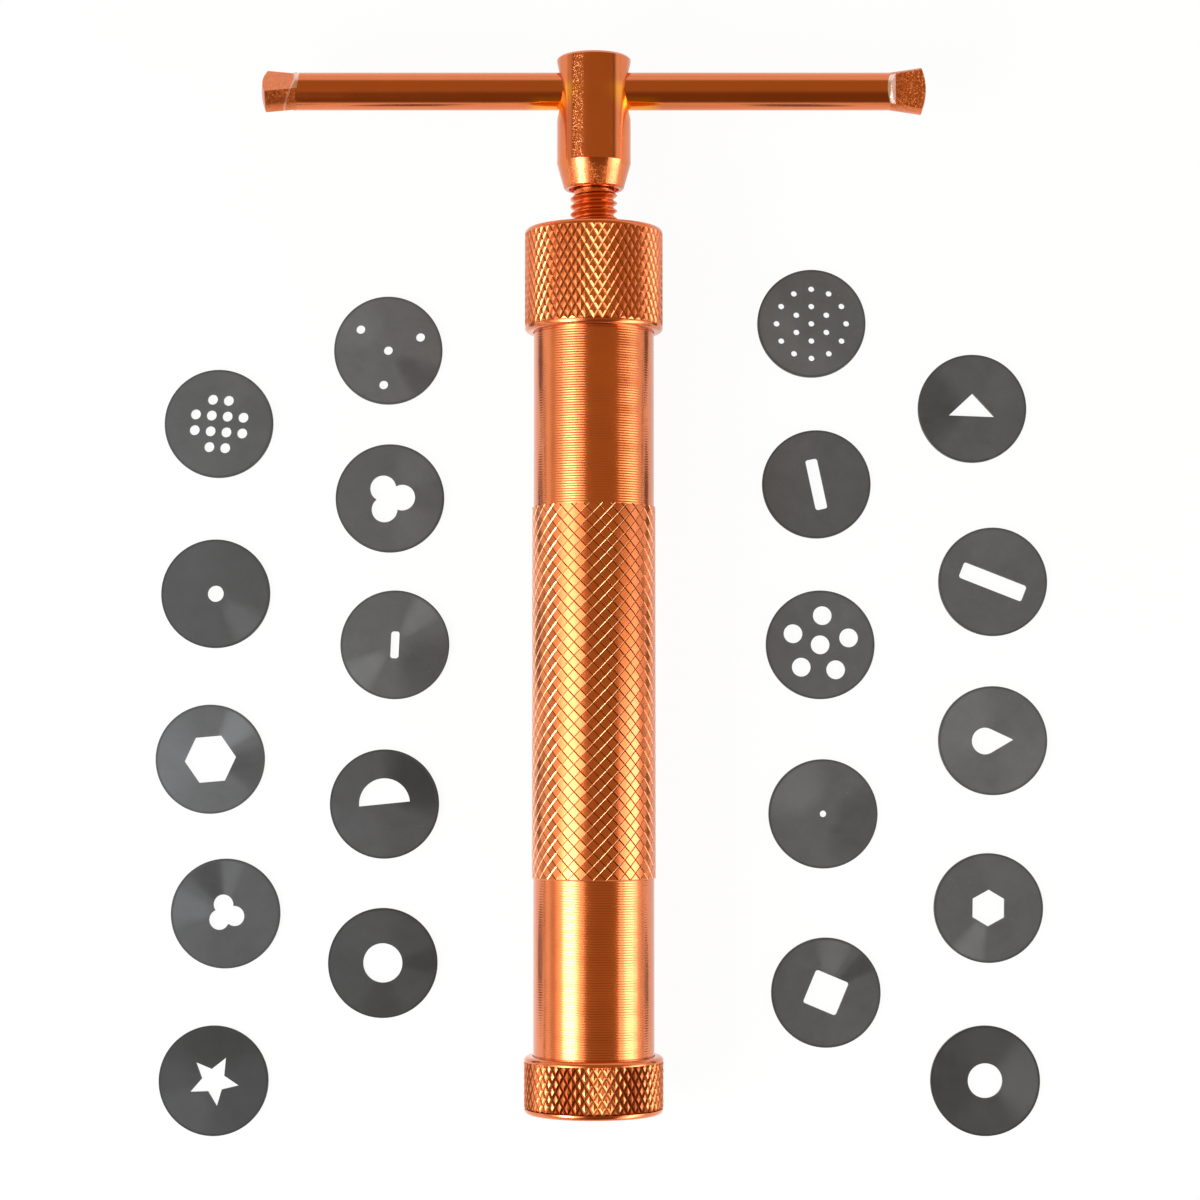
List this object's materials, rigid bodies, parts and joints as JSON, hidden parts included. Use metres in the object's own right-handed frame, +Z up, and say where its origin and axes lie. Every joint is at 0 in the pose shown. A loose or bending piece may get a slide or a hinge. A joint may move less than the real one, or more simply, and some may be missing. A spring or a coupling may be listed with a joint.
{
  "type": "clay extruder",
  "caption": "Hand-held screw extruder for clay: knurled tube, threaded end caps, piston on a lead screw, sliding T bar and loose dies with shaped holes.",
  "frame": {"origin": "centre of the outlet hole in the outer face of the outlet cap", "axes": "+Y along the tool's axis from the outlet to the handle, +Z up from the table it lies on, +X along the T bar"},
  "size_m": [0.1638, 0.1958, 0.025],
  "materials": {
    "copper_barrel": "polished, copper coloured anodising with fine turning rings",
    "copper_knurl": "diamond knurl, copper coloured anodising",
    "copper_thread": "machined thread, deep copper anodising",
    "copper_head": "turned, copper coloured anodising",
    "copper_bar": "drawn bar, copper coloured anodising",
    "piston_metal": "turned, bare",
    "rubber_ring": "matt",
    "plated_steel": "zinc plated",
    "die_steel": "dark stamped steel, satin"
  },
  "bodies": {
    "screw": {"screw_rod": "copper_thread", "drive_head": "copper_head", "piston_washer": "plated_steel", "piston_screw": "plated_steel"},
    "t_bar": {"tommy_bar": "copper_bar"},
    "piston": {"piston": "piston_metal", "piston_o_ring": "rubber_ring"},
    "handle_cap": {"top_cap": "copper_knurl"},
    "tube": {"barrel": "copper_barrel"},
    "outlet_cap": {"bottom_cap": "copper_knurl"},
    "die_twelve_hole": {"die_twelve_hole": "die_steel"},
    "die_small_round": {"die_small_round": "die_steel"},
    "die_large_hexagon": {"die_large_hexagon": "die_steel"},
    "die_small_trefoil": {"die_small_trefoil": "die_steel"},
    "die_star": {"die_star": "die_steel"},
    "die_four_hole": {"die_four_hole": "die_steel"},
    "die_large_trefoil": {"die_large_trefoil": "die_steel"},
    "die_short_slot": {"die_short_slot": "die_steel"},
    "die_half_round": {"die_half_round": "die_steel"},
    "die_large_round": {"die_large_round": "die_steel"},
    "die_nineteen_hole": {"die_nineteen_hole": "die_steel"},
    "die_long_slot": {"die_long_slot": "die_steel"},
    "die_six_hole": {"die_six_hole": "die_steel"},
    "die_pinhole": {"die_pinhole": "die_steel"},
    "die_square": {"die_square": "die_steel"},
    "die_triangle": {"die_triangle": "die_steel"},
    "die_wide_slot": {"die_wide_slot": "die_steel"},
    "die_teardrop": {"die_teardrop": "die_steel"},
    "die_small_hexagon": {"die_small_hexagon": "die_steel"},
    "die_dished_round": {"die_dished_round": "die_steel"}
  },
  "joints": [
    {"name": "bar_slide", "type": "slide", "parent": "screw", "child": "t_bar", "axis": [1, 0, 0], "range_m": [-0.047, 0.047]},
    {"name": "screw_turn", "type": "hinge", "parent": "screw", "child": "piston", "pos_m": [0, 0, 0], "axis": [0, -1, 0], "range_deg": [-1800, 33480]},
    {"name": "piston_travel", "type": "slide", "parent": "piston", "child": "handle_cap", "axis": [0, -1, 0], "range_m": [-0.00706, 0.13114]},
    {"name": "tube_off_cap", "type": "slide", "parent": "handle_cap", "child": "tube", "axis": [0, -1, 0], "range_m": [0, 0.15]},
    {"name": "outlet_cap_off", "type": "slide", "parent": "tube", "child": "outlet_cap", "axis": [0, -1, 0], "range_m": [0, 0.025]},
    {"name": "die_twelve_hole_lift", "type": "slide", "parent": "screw", "child": "die_twelve_hole", "axis": [0, 0, 1], "range_m": [0, 0.03]},
    {"name": "die_small_round_lift", "type": "slide", "parent": "screw", "child": "die_small_round", "axis": [0, 0, 1], "range_m": [0, 0.03]},
    {"name": "die_large_hexagon_lift", "type": "slide", "parent": "screw", "child": "die_large_hexagon", "axis": [0, 0, 1], "range_m": [0, 0.03]},
    {"name": "die_small_trefoil_lift", "type": "slide", "parent": "screw", "child": "die_small_trefoil", "axis": [0, 0, 1], "range_m": [0, 0.03]},
    {"name": "die_star_lift", "type": "slide", "parent": "screw", "child": "die_star", "axis": [0, 0, 1], "range_m": [0, 0.03]},
    {"name": "die_four_hole_lift", "type": "slide", "parent": "screw", "child": "die_four_hole", "axis": [0, 0, 1], "range_m": [0, 0.03]},
    {"name": "die_large_trefoil_lift", "type": "slide", "parent": "screw", "child": "die_large_trefoil", "axis": [0, 0, 1], "range_m": [0, 0.03]},
    {"name": "die_short_slot_lift", "type": "slide", "parent": "screw", "child": "die_short_slot", "axis": [0, 0, 1], "range_m": [0, 0.03]},
    {"name": "die_half_round_lift", "type": "slide", "parent": "screw", "child": "die_half_round", "axis": [0, 0, 1], "range_m": [0, 0.03]},
    {"name": "die_large_round_lift", "type": "slide", "parent": "screw", "child": "die_large_round", "axis": [0, 0, 1], "range_m": [0, 0.03]},
    {"name": "die_nineteen_hole_lift", "type": "slide", "parent": "screw", "child": "die_nineteen_hole", "axis": [0, 0, 1], "range_m": [0, 0.03]},
    {"name": "die_long_slot_lift", "type": "slide", "parent": "screw", "child": "die_long_slot", "axis": [0, 0, 1], "range_m": [0, 0.03]},
    {"name": "die_six_hole_lift", "type": "slide", "parent": "screw", "child": "die_six_hole", "axis": [0, 0, 1], "range_m": [0, 0.03]},
    {"name": "die_pinhole_lift", "type": "slide", "parent": "screw", "child": "die_pinhole", "axis": [0, 0, 1], "range_m": [0, 0.03]},
    {"name": "die_square_lift", "type": "slide", "parent": "screw", "child": "die_square", "axis": [0, 0, 1], "range_m": [0, 0.03]},
    {"name": "die_triangle_lift", "type": "slide", "parent": "screw", "child": "die_triangle", "axis": [0, 0, 1], "range_m": [0, 0.03]},
    {"name": "die_wide_slot_lift", "type": "slide", "parent": "screw", "child": "die_wide_slot", "axis": [0, 0, 1], "range_m": [0, 0.03]},
    {"name": "die_teardrop_lift", "type": "slide", "parent": "screw", "child": "die_teardrop", "axis": [0, 0, 1], "range_m": [0, 0.03]},
    {"name": "die_small_hexagon_lift", "type": "slide", "parent": "screw", "child": "die_small_hexagon", "axis": [0, 0, 1], "range_m": [0, 0.03]},
    {"name": "die_dished_round_lift", "type": "slide", "parent": "screw", "child": "die_dished_round", "axis": [0, 0, 1], "range_m": [0, 0.03]}
  ],
  "couplings": [
    {"joint": "piston_travel", "follows": "screw_turn", "m_per_rad": 0.00022441}
  ]
}
